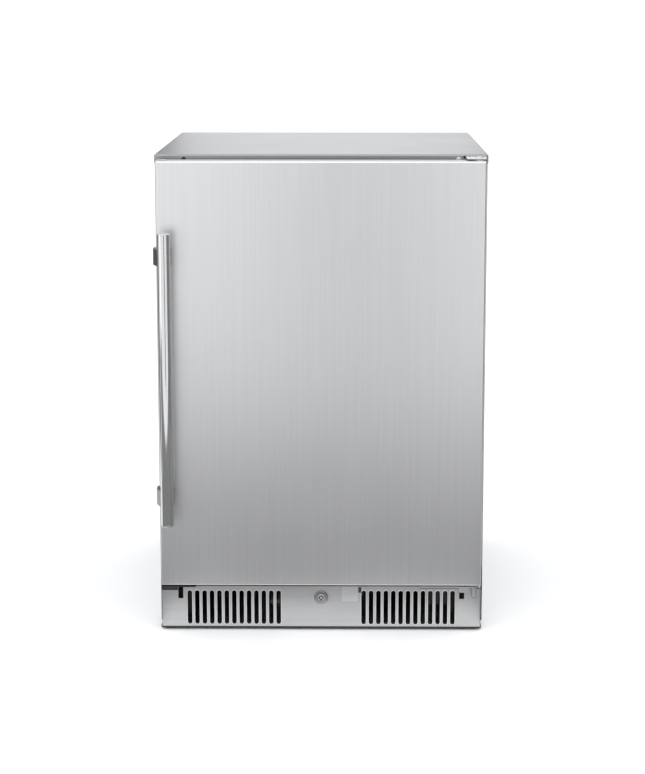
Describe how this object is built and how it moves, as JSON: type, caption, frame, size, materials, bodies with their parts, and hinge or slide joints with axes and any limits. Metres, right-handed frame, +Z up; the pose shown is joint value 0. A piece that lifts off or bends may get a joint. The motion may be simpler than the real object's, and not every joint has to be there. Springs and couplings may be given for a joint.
{
  "type": "undercounter refrigerator",
  "caption": "Stainless undercounter refrigerator with a hinged door, bar handle, slotted toe grille, key lock, wire shelves and levelling feet.",
  "frame": {"origin": "on the floor, in the middle of the whole object's width and depth, handle included", "axes": "+Z up, -Y out of the door, +X to the hinge side"},
  "size_m": [0.595, 0.6464, 0.867],
  "materials": {
    "brushed_side": "brushed",
    "brushed_door": "brushed, upright grain",
    "brushed_grille": "brushed, level grain",
    "polished": "polished",
    "galvanised": "galvanised sheet",
    "black_steel": "satin black",
    "foam": "rigid foam",
    "white_plastic": "satin",
    "dark_plastic": "satin",
    "grey_plastic": "satin",
    "seal_rubber": "matt",
    "copper_pipe": "plain",
    "fins": "plain",
    "zinc_steel": "zinc plated",
    "display_glass": "gloss",
    "lamp_lens": "frosted",
    "chrome_wire": "bright chrome"
  },
  "bodies": {
    "cabinet": {"side_panels": "brushed_side", "top_panel": "brushed_side", "rear_panel": "galvanised", "cabinet_foam": "foam", "machine_bulkhead": "galvanised", "inner_liner": "white_plastic", "front_frame": "brushed_side", "base_pan": "black_steel", "toe_grille": "brushed_grille", "name_plate_blank": "brushed_grille", "door_sensor": "dark_plastic", "hinge_blank_left": "dark_plastic", "top_hinge_bracket": "zinc_steel", "bottom_hinge_bracket": "zinc_steel", "hinge_pins": "zinc_steel", "cabinet_screws": "zinc_steel", "frame_plug": "dark_plastic", "lock_body": "polished", "lock_mount": "zinc_steel", "compressor": "black_steel", "compressor_mounts": "seal_rubber", "compressor_cover": "dark_plastic", "condenser": "fins", "condenser_fan_shroud": "dark_plastic", "condenser_fan_motor": "dark_plastic", "condensate_drain": "dark_plastic", "refrigerant_lines": "copper_pipe", "rear_service_cover": "galvanised", "power_inlet": "dark_plastic", "evaporator": "fins", "evaporator_cover": "white_plastic", "evaporator_fan_motor": "dark_plastic", "control_housing": "white_plastic", "control_display": "display_glass", "led_lamp": "lamp_lens"},
    "door": {"door_skin": "brushed_door", "door_foam": "foam", "door_liner": "white_plastic", "door_gasket": "seal_rubber", "door_cap_top": "grey_plastic", "door_cap_bottom": "grey_plastic", "door_bushings": "grey_plastic", "door_hole_plugs": "grey_plastic", "handle_bar": "polished", "handle_brackets": "polished", "handle_screws": "zinc_steel"},
    "lock": {"lock_plug": "zinc_steel", "lock_cam": "zinc_steel"},
    "condenser_fan": {"condenser_fan_blade": "dark_plastic"},
    "evaporator_fan": {"evaporator_fan_blade": "dark_plastic"},
    "shelf_lower": {"shelf_lower": "chrome_wire"},
    "shelf_middle": {"shelf_middle": "chrome_wire"},
    "shelf_upper": {"shelf_upper": "chrome_wire"},
    "foot_front_left": {"foot_front_left": "zinc_steel"},
    "foot_front_right": {"foot_front_right": "zinc_steel"},
    "foot_rear_left": {"foot_rear_left": "zinc_steel"},
    "foot_rear_right": {"foot_rear_right": "zinc_steel"},
    "button_power": {"button_power": "display_glass"},
    "button_down": {"button_down": "display_glass"},
    "button_up": {"button_up": "display_glass"}
  },
  "joints": [
    {"name": "door_hinge", "type": "hinge", "parent": "cabinet", "child": "door", "pos_m": [0.28, -0.24975, 0.472], "axis": [0, 0, 1], "range_deg": [0, 110]},
    {"name": "lock_turn", "type": "hinge", "parent": "cabinet", "child": "lock", "pos_m": [0, -0.27175, 0.062], "axis": [0, -1, 0], "range_deg": [0, 90]},
    {"name": "condenser_fan_spin", "type": "hinge", "parent": "cabinet", "child": "condenser_fan", "pos_m": [-0.1625, 0.21735, 0.1195], "axis": [1, 0, 0], "continuous": true},
    {"name": "evaporator_fan_spin", "type": "hinge", "parent": "cabinet", "child": "evaporator_fan", "pos_m": [0, 0.21525, 0.749], "axis": [0, -1, 0], "continuous": true},
    {"name": "shelf_lower_slide", "type": "slide", "parent": "cabinet", "child": "shelf_lower", "axis": [0, -1, 0], "range_m": [0, 0.035]},
    {"name": "shelf_middle_slide", "type": "slide", "parent": "cabinet", "child": "shelf_middle", "axis": [0, -1, 0], "range_m": [0, 0.035]},
    {"name": "shelf_upper_slide", "type": "slide", "parent": "cabinet", "child": "shelf_upper", "axis": [0, -1, 0], "range_m": [0, 0.035]},
    {"name": "foot_front_left_screw", "type": "slide", "parent": "cabinet", "child": "foot_front_left", "axis": [0, 0, 1], "range_m": [-0.02, 0]},
    {"name": "foot_front_right_screw", "type": "slide", "parent": "cabinet", "child": "foot_front_right", "axis": [0, 0, 1], "range_m": [-0.02, 0]},
    {"name": "foot_rear_left_screw", "type": "slide", "parent": "cabinet", "child": "foot_rear_left", "axis": [0, 0, 1], "range_m": [-0.02, 0]},
    {"name": "foot_rear_right_screw", "type": "slide", "parent": "cabinet", "child": "foot_rear_right", "axis": [0, 0, 1], "range_m": [-0.02, 0]},
    {"name": "button_power_press", "type": "slide", "parent": "cabinet", "child": "button_power", "axis": [0, 1, 0], "range_m": [0, 0.001], "stiffness_N_per_m": 400},
    {"name": "button_down_press", "type": "slide", "parent": "cabinet", "child": "button_down", "axis": [0, 1, 0], "range_m": [0, 0.001], "stiffness_N_per_m": 400},
    {"name": "button_up_press", "type": "slide", "parent": "cabinet", "child": "button_up", "axis": [0, 1, 0], "range_m": [0, 0.001], "stiffness_N_per_m": 400}
  ]
}
